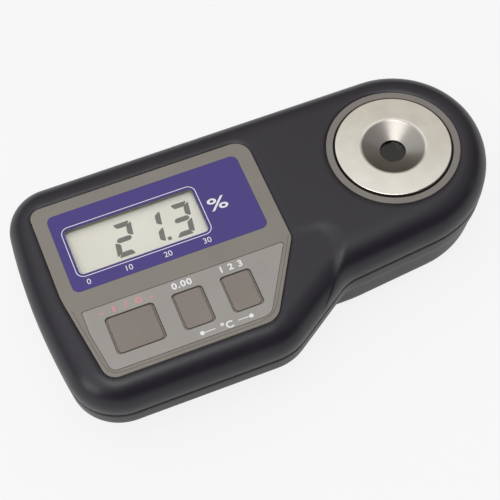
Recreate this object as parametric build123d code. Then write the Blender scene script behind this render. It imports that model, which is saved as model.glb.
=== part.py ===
from build123d import *
import math
import os

# A hand-held digital refractometer. The origin lies on the bench under the middle of the
# body: +X runs along the body to the sample stage, +Y away from the user, +Z up.
# All sizes are in millimetres and all angles in degrees.

# Whole body
body_length = 170.0
body_width = 89.6
body_height = 40.0
wall = 2.4
foot_drop = 1.0
stage_proud = 0.6

# Body outline seen from above
end_radius = 34.0
end_back_radius = 32.0
end_front_radius = 36.2
neck_tilt = 5.7
flank_tilt = 33.9
display_end_length = 76.0
left_bow_radius = 230.0
left_bow_offset = 5.8
back_left_radius = 15.5
front_left_radius = 18.0
front_right_radius = 19.0
neck_root_radius = 14.0

# Body seen from the side
top_edge_radius = 10.0
top_case_depth = 13.0
skirt_height = 2.5
skirt_draft = 1.5
tray_depth = 9.6
tray_draft = 5.0
tray_edge_radius = 3.5
keel_draft = 8.0
keel_edge_radius = 9.0
keel_end_inset = 12.0
keel_corner_radius = 14.0
keel_front_drop = 2.9
keel_blend_radius = 60.0

# Sloping corner of the top, between the panel and the neck
slope_angle = 3.5
slope_inset = 3.5
slope_overlap = 6.0
slope_back_offset = 1.3
slope_right_offset = 1.6
slope_corner_radius = 6.5
slope_side_draft = 55.0
slope_floor_gap = 0.1
slope_lip_width = 3.35
slope_lip_depth = 0.75
slope_lip_draft = 76.0

# Seal between the two shells
seal_height = 0.5
seal_inset = 0.5
seal_width = 1.2

# Front panel
panel_left_margin = 9.6
panel_back_margin = 11.3
panel_front_margin = 7.9
panel_length = 79.8
panel_right_side = 43.0
panel_right_tilt = 30.4
panel_left_side = 36.3
panel_left_tilt = 8.3
panel_back_left_radius = 4.0
panel_back_right_radius = 6.0
panel_right_bend_radius = 4.0
panel_front_right_radius = 7.0
panel_front_left_radius = 5.0
panel_left_bend_radius = 30.0
panel_thickness = 1.5
panel_proud = 0.1
panel_gap = 0.2
panel_edge_radius = 0.35

# Display
film_margin = 4.9
film_right_margin = 5.6
film_depth = 31.4
film_corner_radius = 2.5
film_thickness = 0.3
film_gap = 0.05
view_left_margin = 4.1
view_back_margin = 7.0
view_length = 46.1
view_depth = 18.4
view_corner_radius = 1.6
window_rim = 1.4
window_thickness = 0.8
window_gap = 0.1
glass_border = 2.0
glass_front_border = 4.0
glass_drop = 0.1
glass_thickness = 2.2
glass_gap = 0.1
display_frame_wall = 1.8
contact_width = 1.6
contact_gap = 0.1

# Keys
key_plate_drop = 43.9
key_plate_margin = 2.5
key_plate_thickness = 0.5
key_plate_gap = 0.22
key_plate_corner_radius = 0.7
first_key_margin = 5.9
key_back_margin = 4.8
start_key_length = 17.2
small_key_length = 11.0
key_space = 6.05
key_front_margin = 7.2
key_corner_radius = 1.4
key_gap = 0.15
key_step_side = 0.7
key_step_front = 0.35
key_step_drop = 0.8
key_top_radius = 0.25
key_flange = 0.9
key_flange_thickness = 1.0
key_flange_gap = 0.1
key_well_gap = 0.6
key_travel = 0.8

# Main board
board_thickness = 1.6
board_drop = 8.8
board_left_overhang = 1.6
board_right_margin = 0.4
board_front_margin = 6.9
board_back_margin = 6.0
board_corner_radius = 2.0
post_radius = 2.4
post_margin = 3.6
switch_size = 6.0
switch_height = 3.8
switch_floor = 1.0
plunger_radius = 1.7
plunger_gap = 0.08
plunger_room = 0.6
chip_height = 1.4
processor_size = 12.0
memory_length = 8.0
memory_width = 5.0
chip_spacing = 13.0

# Sample stage
stage_radius = 20.3
stage_thickness = 3.8
stage_edge_radius = 0.3
hub_radius = 16.0
hub_drop = 6.8
hub_gap = 0.4
dish_angle = 25.5
dish_blend_radius = 2.0
light_hole_radius = 4.6
light_hole_drop = 3.2
ring_clearance = 0.7
ring_width = 2.4
ring_depth = 2.5
ring_proud = 0.05
ring_edge_radius = 0.2
ring_gap = 0.05
stage_seal_gap = 0.05
stage_seal_drop = 1.6
collar_wall = 2.6

# Optics under the stage
prism_top_drop = 4.2
prism_length = 15.0
prism_width = 11.0
prism_height = 7.0
prism_gap = 0.15
prism_seal_width = 0.7
prism_seal_height = 0.3
light_tilt = 35.0
light_path_length = 17.0
block_length = 48.0
block_width = 24.0
block_height = 16.0
lens_radius = 4.0
lens_thickness = 2.2
lens_dome_radius = 7.5
lens_gap = 0.05
lens_seat = 0.8
lamp_lens_depth = 12.0
sensor_lens_depth = 6.0
lamp_radius = 2.5
lamp_length = 4.6
lamp_gap = 0.1
small_board_length = 13.0
small_board_width = 20.0
small_board_thickness = 1.2
sensor_length = 6.4
sensor_width = 9.0
sensor_thickness = 2.0
sensor_gap = 0.2
lamp_tip_radius = 2.0
probe_radius = 1.2
probe_length = 12.0
probe_depth = 10.0
probe_drop = 6.7
probe_gap = 0.05
socket_length = 4.0
socket_width = 12.0
socket_height = 1.4
ribbon_width = 10.0
ribbon_thickness = 0.3
ribbon_bend_radius = 3.0
lead_radius = 0.6
lead_bend_radius = 1.8
lead_spacing = 2.4
lead_reach = 4.0
lead_side_gap = 1.8
lead_socket_width = 3.0
battery_lead_inset = 1.4

# Battery bay in the keel
battery_length = 46.5
battery_width = 26.5
battery_height = 17.5
battery_edge_radius = 1.5
terminal_height = 2.0
terminal_radius = 2.8
terminal_spacing = 12.7
clip_thickness = 4.5
clip_width = 12.5
clip_gap = 0.1
bay_left_margin = 35.0
bay_offset = 1.8
bay_gap = 0.7
bay_wall = 2.2
bay_roof = 1.5
battery_lift = 0.4
tongue_room = 4.0
lid_gap = 0.3
lid_seat_gap = 0.05
lid_width = 30.0
lid_corner_radius = 1.5
lid_edge = 1.5
tongue_reach = 2.2
tongue_thickness = 1.3
tongue_width = 7.0
tongue_spacing = 18.0
tongue_gap = 0.15
tongue_root = 1.5

# Fasteners and feet
screw_radius = 1.5
screw_head_radius = 2.9
screw_head_height = 1.9
screw_length = 14.0
screw_play = 0.05
screw_clearance = 0.2
screw_seat_z = 20.4
cross_slot_width = 0.6
boss_radius = 3.6
pocket_gap = 0.5
pocket_wall = 1.6
back_left_screw_offset = 23.5
back_left_screw_margin = 11.8
front_left_screw_offset = 19.0
front_screw_margin = 10.2
front_right_screw_offset = 5.0
neck_screw_offset = 31.5
neck_screw_margin = 15.8
stage_screw_reach = 26.0
stage_screw_angle = 50.0
small_screw_radius = 1.0
small_screw_head_radius = 1.9
small_screw_head_height = 1.2
small_screw_length = 6.0
optics_screw_radius = 1.25
optics_screw_head_radius = 2.2
optics_screw_head_height = 1.5
optics_screw_length = 9.0
optics_screw_sink = 9.8
optics_screw_offset = (11.0, 9.0)
lid_screw_radius = 1.9
lid_screw_head_radius = 4.2
lid_screw_head_height = 1.4
lid_screw_length = 5.0
lid_screw_gap = 0.15
coin_slot_width = 1.4
coin_slot_depth = 0.8
insert_radius = 3.9
insert_length = 5.0
insert_play = 0.45
insert_cover = 1.6
foot_radius = 4.5
foot_pocket = 0.6
foot_gap = 0.05
foot_edge_radius = 0.4
feet_spacing = 27.0
left_feet_inset = 17.5
right_feet_inset = 25.0

# Heights above the bench
top_z = body_height - stage_proud
ceiling_z = top_z - wall
parting_z = top_z - top_case_depth
top_rim_z = parting_z + seal_height / 2
bottom_rim_z = parting_z - seal_height / 2
widest_z = parting_z + skirt_height
case_bottom_z = foot_drop
case_floor_z = case_bottom_z + wall
panel_top_z = top_z + panel_proud
panel_bottom_z = panel_top_z - panel_thickness
board_top_z = top_z - board_drop
board_bottom_z = board_top_z - board_thickness

# Main places along and across the body
left_x = -body_length / 2
right_x = body_length / 2
back_y = body_width / 2
front_y = -body_width / 2
stage_x = right_x - end_radius
stage_y = back_y - end_radius
rim_tuck = skirt_height * math.tan(math.radians(skirt_draft))


def near(shape, x, y):
    """The corner of a flat shape that lies nearest to a point."""
    return shape.vertices().sort_by(lambda v: math.hypot(v.X - x, v.Y - y))[0]


def round_corners(face, corners):
    """Rounds the named corners of a flat shape, each with its own radius."""
    for point, radius in corners:
        face = fillet(near(face, *point), radius)
    return face


def rectangle(x_low, x_high, y_low, y_high, radius):
    """A rectangle with rounded corners, given by its sides."""
    middle = Pos((x_low + x_high) / 2, (y_low + y_high) / 2)
    return middle * RectangleRounded(x_high - x_low, y_high - y_low, radius)


def plate(sketch, z_low, z_high):
    return extrude(Pos(0, 0, z_low) * sketch, amount=z_high - z_low)


def block(x_low, x_high, y_low, y_high, z_low, z_high):
    middle = Pos((x_low + x_high) / 2, (y_low + y_high) / 2, (z_low + z_high) / 2)
    return middle * Box(x_high - x_low, y_high - y_low, z_high - z_low)


def rod(radius, x, y, z_low, z_high):
    return Pos(x, y, (z_low + z_high) / 2) * Cylinder(radius, z_high - z_low)


def top_edges(part):
    return part.faces().sort_by(Axis.Z)[-1].edges()


def bottom_edges(part):
    return part.faces().sort_by(Axis.Z)[0].edges()


def tube(points, radius, bend_radius):
    """A wire along straight runs joined by arcs."""
    path = FilletPolyline(*points, radius=bend_radius)
    section = Plane(origin=path @ 0, z_dir=path % 0) * Circle(radius)
    return sweep(section, path=path)


# The round end is two arcs, a tighter one at the back and a wider one at the front. The neck
# line touches the front arc and falls gently to the left, until it meets the steeper flank
# of the display end.
end_tip_y = back_y - end_back_radius
neck_angle = math.radians(neck_tilt)
neck_slope = math.tan(neck_angle)
flank_slope = math.tan(math.radians(flank_tilt))
flank_start = (left_x + display_end_length, front_y)


def neck_touch(inset):
    """Where the neck line touches the front arc of the round end, drawn inwards by inset."""
    radius = end_front_radius - inset
    x = right_x - end_front_radius + radius * math.sin(neck_angle)
    return (x, end_tip_y - radius * math.cos(neck_angle))


def round_end(inset):
    """The two arcs of the round end, from the back edge to the neck line, drawn inwards by inset."""
    start = (right_x - end_back_radius, back_y - inset)
    tip = (right_x - inset, end_tip_y)
    return [
        TangentArc(start, tip, tangent=(1, 0)),
        TangentArc(tip, neck_touch(inset), tangent=(0, -1)),
    ]


def neck_root():
    """Where the neck line meets the flank of the display end."""
    touch = neck_touch(0)
    rise = (touch[1] - neck_slope * touch[0]) - (flank_start[1] - flank_slope * flank_start[0])
    x = rise / (flank_slope - neck_slope)
    return (x, touch[1] + neck_slope * (x - touch[0]))


def bow_x(y):
    """The gently bowed left end."""
    return left_x + left_bow_radius - math.sqrt(left_bow_radius**2 - (y - left_bow_offset) ** 2)


def body_outline(inset):
    """The body seen from above, drawn inwards by inset."""
    back_left = (bow_x(back_y), back_y)
    front_left = (bow_x(front_y), front_y)
    face = make_face(
        [
            Line(back_left, (right_x - end_back_radius, back_y)),
            *round_end(0),
            Line(neck_touch(0), neck_root()),
            Line(neck_root(), flank_start),
            Line(flank_start, front_left),
            ThreePointArc(front_left, (left_x, left_bow_offset), back_left),
        ]
    )
    corners = [
        (back_left, back_left_radius),
        (front_left, front_left_radius),
        (flank_start, front_right_radius),
        (neck_root(), neck_root_radius),
    ]
    face = round_corners(face, corners)
    if inset:
        face = offset(face, amount=-inset)
    return face


def keel_outline(inset):
    """The deep handle under the body: the round end, the neck and a straight run to the left."""
    start = neck_touch(rim_tuck)
    front = stage_y - end_radius - keel_front_drop
    back = back_y - rim_tuck
    left = left_x + keel_end_inset
    bend = (start[0] + (front - start[1]) / neck_slope, front)
    face = make_face(
        [
            Line((left, back), (right_x - end_back_radius, back)),
            *round_end(rim_tuck),
            Line(start, bend),
            Line(bend, (left, front)),
            Line((left, front), (left, back)),
        ]
    )
    corners = [
        (bend, keel_blend_radius),
        ((left, front), keel_corner_radius),
        ((left, back), keel_corner_radius),
    ]
    face = round_corners(face, corners)
    if inset:
        face = offset(face, amount=-inset)
    return face


def upper_form(inset, rim_z):
    """The rounded top half as a solid, drawn inwards by inset, down to rim_z."""
    outline = body_outline(inset)
    dome = plate(outline, widest_z, top_z - inset)
    dome = fillet(top_edges(dome), top_edge_radius - inset)
    skirt = extrude(Pos(0, 0, widest_z) * outline, amount=rim_z - widest_z, taper=skirt_draft)
    return dome + skirt


def lower_form(inset):
    """The shallow tray and the deep keel under it as a solid, drawn inwards by inset."""
    tray_height = bottom_rim_z - (parting_z - tray_depth) - inset
    tray_top = Pos(0, 0, bottom_rim_z) * body_outline(rim_tuck + inset)
    tray = extrude(tray_top, amount=-tray_height, taper=tray_draft)
    tray = fillet(bottom_edges(tray), tray_edge_radius - inset)
    keel_height = bottom_rim_z - case_bottom_z - inset
    keel_top = Pos(0, 0, bottom_rim_z) * keel_outline(inset)
    keel = extrude(keel_top, amount=-keel_height, taper=keel_draft)
    keel = fillet(bottom_edges(keel), keel_edge_radius - inset)
    return tray + keel


# Outline of the front panel, with a slanting lower right and lower left side
panel_left = left_x + panel_left_margin
panel_right = panel_left + panel_length
panel_back = back_y - panel_back_margin
panel_front = front_y + panel_front_margin
panel_right_bend = panel_back - panel_right_side
panel_left_bend = panel_back - panel_left_side
panel_right_foot = panel_right - (panel_right_bend - panel_front) * math.tan(math.radians(panel_right_tilt))
panel_left_foot = panel_left + (panel_left_bend - panel_front) * math.tan(math.radians(panel_left_tilt))


def panel_outline(inset):
    corners = [
        ((panel_left, panel_back), panel_back_left_radius),
        ((panel_right, panel_back), panel_back_right_radius),
        ((panel_right, panel_right_bend), panel_right_bend_radius),
        ((panel_right_foot, panel_front), panel_front_right_radius),
        ((panel_left_foot, panel_front), panel_front_left_radius),
        ((panel_left, panel_left_bend), panel_left_bend_radius),
    ]
    points = [point for point, radius in corners]
    face = round_corners(make_face(Polyline(*points, close=True)), corners)
    if inset:
        face = offset(face, amount=-inset)
    return face


def sloping_corner(dome):
    """What is taken off the dome beside the neck, where the top slopes down to the flank.

    The slope is a copy of the dome, tilted about a line beside the panel's slanting edge.
    Its side is steep below and shallow above, so that it rises softly out of the slope."""
    edge = Vector(panel_right_foot - panel_right, panel_front - panel_right_bend, 0).normalized()
    side = Vector(-edge.Y, edge.X, 0)
    hinge = Vector(panel_right, panel_right_bend, widest_z) - side * slope_inset
    tilted_dome = dome.rotate(Axis(hinge, edge), -slope_angle)
    start = hinge - side * slope_overlap
    back = panel_right_bend + slope_back_offset
    right = neck_root()[0] + slope_right_offset
    front = front_y - top_edge_radius
    corners = [
        (start.X + (back - start.Y) * edge.X / edge.Y, back),
        (right, back),
        (right, front),
        (start.X + (front - start.Y) * edge.X / edge.Y, front),
    ]
    region = make_face(Polyline(*corners, close=True))
    region = fillet(near(region, right, back), slope_corner_radius)
    depth = body_height - (top_z - top_edge_radius) - slope_floor_gap
    tool = extrude(Pos(0, 0, body_height) * region, amount=-depth, taper=slope_side_draft)
    lip = Pos(0, 0, body_height) * offset(region, amount=slope_lip_width)
    tool = tool + extrude(lip, amount=-(stage_proud + slope_lip_depth), taper=slope_lip_draft)
    return tool - tilted_dome


# Display, from the printed film down to the glass
film_left = panel_left + film_margin
film_right = panel_right - film_right_margin
film_back = panel_back - film_margin
film_front = film_back - film_depth
view_left = film_left + view_left_margin
view_right = view_left + view_length
view_back = film_back - view_back_margin
view_front = view_back - view_depth
glass_top_z = ceiling_z - glass_drop
glass_bottom_z = glass_top_z - glass_thickness


def view_outline(margin):
    """The opening that the display is read through, widened by margin."""
    return rectangle(
        view_left - margin,
        view_right + margin,
        view_front - margin,
        view_back + margin,
        view_corner_radius + margin,
    )


def film_outline(margin):
    return rectangle(
        film_left - margin,
        film_right + margin,
        film_front - margin,
        film_back + margin,
        film_corner_radius + margin,
    )


def glass_block(margin, z_low, z_high):
    """The space of the display glass, widened by margin, between two heights."""
    return block(
        view_left - glass_border - margin,
        view_right + glass_border + margin,
        view_front - glass_front_border - margin,
        view_back + glass_border + margin,
        z_low,
        z_high,
    )


def contact_block(margin):
    """The conductive strip between the glass and the board."""
    middle_y = view_front - glass_front_border / 2
    return block(
        view_left - margin,
        view_right + margin,
        middle_y - contact_width / 2 - margin,
        middle_y + contact_width / 2 + margin,
        board_top_z,
        glass_bottom_z,
    )


def display_film():
    return plate(film_outline(0) - view_outline(0), panel_top_z - film_thickness, panel_top_z)


def display_window():
    return plate(view_outline(window_rim), panel_bottom_z - window_thickness, panel_bottom_z)


def display_glass():
    return glass_block(0, glass_bottom_z, glass_top_z)


def display_frame():
    frame = glass_block(glass_gap + display_frame_wall, board_top_z, ceiling_z)
    frame = frame - glass_block(glass_gap, glass_bottom_z, ceiling_z)
    frame = frame - plate(view_outline(0), board_top_z, glass_bottom_z)
    return frame - contact_block(contact_gap)


# Keys, from left to right
key_plate_back = panel_back - key_plate_drop
key_back = key_plate_back - key_back_margin
key_front = panel_front + key_front_margin
start_key_x = film_left + first_key_margin
zero_key_x = start_key_x + start_key_length + key_space
scale_key_x = zero_key_x + small_key_length + key_space
key_sides = {
    "start_key": (start_key_x, start_key_x + start_key_length),
    "zero_key": (zero_key_x, zero_key_x + small_key_length),
    "scale_key": (scale_key_x, scale_key_x + small_key_length),
}
key_top_z = panel_top_z
key_bottom_z = panel_bottom_z - key_flange_gap - key_flange_thickness
key_middle_y = (key_back + key_front) / 2


def key_outline(sides, side_margin, front_margin):
    """A key's opening, widened by a margin at its sides and at its front and back."""
    return rectangle(
        sides[0] - side_margin,
        sides[1] + side_margin,
        key_front - front_margin,
        key_back + front_margin,
        key_corner_radius,
    )


def key_cap(sides):
    """A flat cap on a lower shoulder, with a flange that stays under the panel."""
    cap = plate(
        key_outline(sides, -key_gap - key_step_side, -key_gap - key_step_front), key_bottom_z, key_top_z
    )
    cap = fillet(top_edges(cap), key_top_radius)
    shoulder_z = key_top_z - key_step_drop
    shoulder = plate(key_outline(sides, -key_gap, -key_gap), key_bottom_z, shoulder_z)
    flange_top = key_bottom_z + key_flange_thickness
    flange = plate(key_outline(sides, key_flange, key_flange), key_bottom_z, flange_top)
    return cap + shoulder + flange


def key_plate_outline(margin):
    """The light plate follows the panel's slanting sides at a constant margin."""
    top = key_plate_back + margin
    left = film_left - margin
    reach = block(left, panel_right, panel_front, top, -1, 1)
    face = (panel_outline(key_plate_margin - margin) & reach).faces()[0]
    right = max(v.X for v in face.vertices() if math.isclose(v.Y, top, abs_tol=key_plate_gap))
    return round_corners(face, [((left, top), key_plate_corner_radius), ((right, top), key_plate_corner_radius)])


def key_plate():
    sheet = plate(key_plate_outline(0), panel_top_z - key_plate_thickness, panel_top_z)
    for sides in key_sides.values():
        sheet = sheet - plate(key_outline(sides, 0, 0), panel_top_z - key_plate_thickness, panel_top_z)
    return sheet


def front_panel():
    panel = plate(panel_outline(0), panel_bottom_z, panel_top_z)
    panel = fillet(top_edges(panel), panel_edge_radius)
    panel = panel - plate(film_outline(film_gap), panel_top_z - film_thickness, panel_top_z)
    panel = panel - plate(key_plate_outline(key_plate_gap), panel_top_z - key_plate_thickness, panel_top_z)
    panel = panel - plate(view_outline(0), panel_bottom_z, panel_top_z)
    for sides in key_sides.values():
        panel = panel - plate(key_outline(sides, 0, 0), panel_bottom_z, panel_top_z)
    return panel


# Main board, its posts and what sits on it
board_left = panel_left - board_left_overhang
board_right = panel_right - board_right_margin
board_front = panel_front + board_front_margin
board_back = panel_back - board_back_margin
post_places = [
    (board_left + post_margin, view_back - post_margin / 2),
    (board_left + post_margin, key_back + post_margin),
    (view_right + glass_border + display_frame_wall + 2 * post_margin, view_back - post_margin / 2),
    (key_sides["scale_key"][1] + key_flange + 2 * post_margin, key_back + post_margin / 2),
]


def main_board():
    board = plate(
        rectangle(board_left, board_right, board_front, board_back, board_corner_radius),
        board_bottom_z,
        board_top_z,
    )
    for x, y in post_places:
        board = board - rod(small_screw_radius + screw_play, x, y, board_bottom_z, board_top_z)
    return board


def board_chips():
    """The processor and its two memory chips, under the board."""
    x = (view_left + view_right) / 2
    y = (view_front + view_back) / 2
    places = [
        (x, y, processor_size, processor_size),
        (x - chip_spacing, y, memory_length, memory_width),
        (x - chip_spacing, y - chip_spacing, memory_length, memory_width),
    ]
    chips = [
        block(x - a / 2, x + a / 2, y - b / 2, y + b / 2, board_bottom_z - chip_height, board_bottom_z)
        for x, y, a, b in places
    ]
    return Compound(children=chips)


def key_switches():
    """One switch body under each key, with the bore that guides its plunger."""
    bodies = []
    half = switch_size / 2
    for low, high in key_sides.values():
        x = (low + high) / 2
        body = block(
            x - half, x + half, key_middle_y - half, key_middle_y + half, board_top_z, board_top_z + switch_height
        )
        bore = rod(
            plunger_radius + plunger_gap,
            x,
            key_middle_y,
            board_top_z + switch_floor,
            board_top_z + switch_height,
        )
        bodies.append(body - bore)
    return Compound(children=bodies)


def key_plunger(sides):
    """The pin that a key pushes into its switch, clear of the bore's floor when pressed."""
    low = board_top_z + switch_floor + key_travel + plunger_room
    return rod(plunger_radius, (sides[0] + sides[1]) / 2, key_middle_y, low, key_bottom_z)


# Sample stage, the ring round it and the collar that carries both
ring_inner_radius = stage_radius + ring_clearance
ring_outer_radius = ring_inner_radius + ring_width
collar_radius = ring_outer_radius + collar_wall
flange_bottom_z = body_height - stage_thickness
hub_bottom_z = body_height - hub_drop
prism_top_z = body_height - prism_top_drop
prism_bottom_z = prism_top_z - prism_height
pocket_top_z = prism_top_z + prism_seal_height
block_bottom_z = hub_bottom_z - block_height
ring_bottom_z = top_z - ring_depth
optics_screw_places = [
    (stage_x + side * optics_screw_offset[0], stage_y + end * optics_screw_offset[1])
    for side in (-1, 1)
    for end in (-1, 1)
]


def turned(points):
    """A turned piece about the stage's axis, from its half section of radius and height."""
    section = Plane.XZ * make_face(Polyline(*points, close=True))
    return Pos(stage_x, stage_y, 0) * revolve(section, axis=Axis.Z)


def sample_stage():
    """A turned steel disc with a polished dish, a hole over the prism and a hub below."""
    hole_z = body_height - light_hole_drop
    cone_top = light_hole_radius + light_hole_drop / math.tan(math.radians(dish_angle))
    points = [
        (light_hole_radius, hole_z),
        (cone_top, body_height),
        (stage_radius, body_height),
        (stage_radius, flange_bottom_z),
        (hub_radius, flange_bottom_z),
        (hub_radius, hub_bottom_z),
        (light_hole_radius, hub_bottom_z),
    ]
    section = make_face(Polyline(*points, close=True))
    corners = [((cone_top, body_height), dish_blend_radius), ((stage_radius, body_height), stage_edge_radius)]
    section = round_corners(section, corners)
    stage = Pos(stage_x, stage_y, 0) * revolve(Plane.XZ * section, axis=Axis.Z)
    stage = stage - prism_room(hub_bottom_z, pocket_top_z)
    for x, y in optics_screw_places:
        stage = stage - rod(optics_screw_radius + screw_play, x, y, hub_bottom_z, flange_bottom_z)
    return stage


def stage_ring():
    ring = turned(
        [
            (ring_inner_radius, ring_bottom_z),
            (ring_outer_radius, ring_bottom_z),
            (ring_outer_radius, top_z + ring_proud),
            (ring_inner_radius, top_z + ring_proud),
        ]
    )
    return fillet(top_edges(ring), ring_edge_radius)


def stage_seal():
    low = stage_radius + stage_seal_gap
    high = ring_inner_radius - stage_seal_gap
    top = body_height - stage_seal_drop
    return turned([(low, flange_bottom_z), (high, flange_bottom_z), (high, top), (low, top)])


def prism_room(z_low, z_high):
    """The rectangular pocket that holds the prism."""
    half_length = prism_length / 2 + prism_gap
    half_width = prism_width / 2 + prism_gap
    return block(
        stage_x - half_length,
        stage_x + half_length,
        stage_y - half_width,
        stage_y + half_width,
        z_low,
        z_high,
    )


def prism():
    """A glass prism whose two side faces are square to the light paths."""
    top = prism_length / 2
    bottom = top - prism_height * math.tan(math.radians(light_tilt))
    points = [(-top, prism_top_z), (top, prism_top_z), (bottom, prism_bottom_z), (-bottom, prism_bottom_z)]
    section = Plane.XZ * make_face(Polyline(*points, close=True))
    return Pos(stage_x, stage_y + prism_width / 2, 0) * extrude(section, amount=prism_width)


def prism_seal():
    low = light_hole_radius + stage_seal_gap
    high = low + prism_seal_width
    return turned([(low, prism_top_z), (high, prism_top_z), (high, pocket_top_z), (low, pocket_top_z)])


# Light paths: from the middle of each side face of the prism, outwards and down
path_start_x = prism_length / 2 - prism_height / 2 * math.tan(math.radians(light_tilt))
path_start_z = prism_top_z - prism_height / 2


def light_path(side):
    """A plane on the prism's side face, looking out along the light: side is 1 or -1."""
    tilt = math.radians(light_tilt)
    return Plane(
        origin=(stage_x + side * path_start_x, stage_y, path_start_z),
        x_dir=(side * math.sin(tilt), 0, math.cos(tilt)),
        z_dir=(side * math.cos(tilt), 0, -math.sin(tilt)),
    )


def along_path(side, radius, low, high):
    return light_path(side) * Pos(0, 0, (low + high) / 2) * Cylinder(radius, high - low)


def across_path(side, length, width, low, high):
    return light_path(side) * Pos(0, 0, (low + high) / 2) * Box(length, width, high - low)


lamp_side = 1
sensor_side = -1


def optics_block():
    """A metal block that presses the prism up and holds the lamp, the lenses and the sensor."""
    body = block(
        stage_x - block_length / 2,
        stage_x + block_length / 2,
        stage_y - block_width / 2,
        stage_y + block_width / 2,
        block_bottom_z,
        hub_bottom_z,
    )
    body = body - prism_room(prism_bottom_z, hub_bottom_z)
    for side in (lamp_side, sensor_side):
        trimmed = across_path(
            side, 2 * block_length, block_width, light_path_length, light_path_length + block_length
        )
        body = body - trimmed
    wide = lens_radius + lens_gap
    narrow = lens_radius - lens_seat
    body = body - along_path(lamp_side, wide, -lens_seat, lamp_lens_depth)
    body = body - along_path(lamp_side, lamp_radius + lamp_gap, lamp_lens_depth, light_path_length)
    body = body - along_path(sensor_side, narrow, -lens_seat, sensor_lens_depth)
    body = body - along_path(sensor_side, wide, sensor_lens_depth, light_path_length)
    body = body - across_path(
        sensor_side,
        sensor_length + 2 * sensor_gap,
        sensor_width + 2 * sensor_gap,
        light_path_length - sensor_thickness - sensor_gap,
        light_path_length,
    )
    for x, y in optics_screw_places:
        body = body - rod(optics_screw_radius + screw_clearance, x, y, block_bottom_z, hub_bottom_z)
        sink = rod(
            optics_screw_head_radius + screw_clearance, x, y, block_bottom_z, block_bottom_z + optics_screw_sink
        )
        body = body - sink
    return body - probe_rod(probe_radius + probe_gap, probe_length)


def probe_rod(radius, length):
    """A round rod below the prism, whose inner end is probe_depth in from the block's front."""
    end_y = stage_y - block_width / 2 + probe_depth
    middle = Pos(stage_x, end_y - length / 2, hub_bottom_z - probe_drop)
    return middle * Rot(90, 0, 0) * Cylinder(radius, length)


def lamp():
    """A round lamp with a domed tip that faces the prism."""
    body = along_path(lamp_side, lamp_radius, light_path_length - lamp_length, light_path_length)
    tip = body.faces().sort_by(Axis.Z)[-1]
    return fillet(tip.edges(), lamp_tip_radius)


def path_lens(side, low):
    """A lens whose flat face is towards the prism and whose other face is domed."""
    dome = light_path(side) * Pos(0, 0, low + lens_thickness - lens_dome_radius) * Sphere(lens_dome_radius)
    return along_path(side, lens_radius, low, low + lens_thickness) & dome


def small_board(side):
    return across_path(
        side,
        small_board_length,
        small_board_width,
        light_path_length,
        light_path_length + small_board_thickness,
    )


def image_sensor():
    return across_path(
        sensor_side, sensor_length, sensor_width, light_path_length - sensor_thickness, light_path_length
    )


# Sockets of the flat cable and the lamp's lead, under the main board and on the sensor board
outer_face = light_path_length + small_board_thickness
main_socket_right = board_right - socket_length / 2
ribbon_z = board_bottom_z - socket_height / 2
lamp_lead_y = stage_y - block_width / 2 - lead_side_gap


def board_socket(middle_y, width):
    return block(
        main_socket_right - socket_length,
        main_socket_right,
        middle_y - width / 2,
        middle_y + width / 2,
        board_bottom_z - socket_height,
        board_bottom_z,
    )


def wiring_sockets():
    sensor_socket = across_path(
        sensor_side, socket_length, socket_width, outer_face, outer_face + socket_height
    )
    return Compound(
        children=[
            board_socket(stage_y, socket_width),
            board_socket(lamp_lead_y, lead_socket_width),
            sensor_socket,
        ]
    )


def sensor_ribbon():
    """A flat cable that runs up from the sensor board and level to the main board."""
    tilt = math.radians(light_tilt)
    depth = outer_face + socket_height / 2
    start_x = stage_x - path_start_x - depth * math.cos(tilt) - socket_length / 2 * math.sin(tilt)
    start_z = path_start_z - depth * math.sin(tilt) + socket_length / 2 * math.cos(tilt)
    bend_x = start_x - (ribbon_z - start_z) * math.tan(tilt)
    path = FilletPolyline(
        (start_x, start_z), (bend_x, ribbon_z), (main_socket_right, ribbon_z), radius=ribbon_bend_radius
    )
    strip = Plane.XZ * trace(path, ribbon_thickness)
    return Pos(0, stage_y + ribbon_width / 2, 0) * extrude(strip, amount=ribbon_width)


def lamp_lead():
    """The lamp's two-core lead, round the front of the block and up to its socket."""
    board_y = small_board_width / 4
    first = (light_path(lamp_side) * Location((0, board_y, outer_face))).position
    second = (light_path(lamp_side) * Location((0, board_y, outer_face + lead_reach))).position
    points = [
        first,
        second,
        (second.X, lamp_lead_y, second.Z),
        (stage_x - block_length / 2, lamp_lead_y, second.Z),
        (main_socket_right + socket_length, lamp_lead_y, ribbon_z),
        (main_socket_right, lamp_lead_y, ribbon_z),
    ]
    return tube(points, lead_radius, lead_bend_radius)


# Battery bay: the tongue end of the lid on the left, the clip and the lid screw on the right
bay_middle_y = stage_y - bay_offset
lid_left = left_x + bay_left_margin
battery_left = lid_left + tongue_room
battery_right = battery_left + battery_length
clip_left = battery_right + clip_gap
clip_right = clip_left + clip_thickness
bay_left = lid_left - lid_gap - tongue_reach - lid_gap
bay_right = clip_right + bay_gap
bay_half_width = battery_width / 2 + bay_gap
bay_outer_half_width = bay_half_width + bay_wall
lid_screw_x = bay_right + bay_wall + insert_radius
lid_right = lid_screw_x + lid_screw_head_radius + lid_edge
battery_bottom_z = case_floor_z + battery_lift
bay_roof_z = battery_bottom_z + battery_height + bay_gap
lid_seat_z = case_floor_z + lid_seat_gap
insert_top_z = lid_seat_z + insert_length
terminal_places = [bay_middle_y - terminal_spacing / 2, bay_middle_y + terminal_spacing / 2]
terminal_z = battery_bottom_z + battery_height / 2


def rod_along_x(radius, x_low, x_high, y, z):
    return Pos((x_low + x_high) / 2, y, z) * Rot(0, 90, 0) * Cylinder(radius, x_high - x_low)


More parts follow.
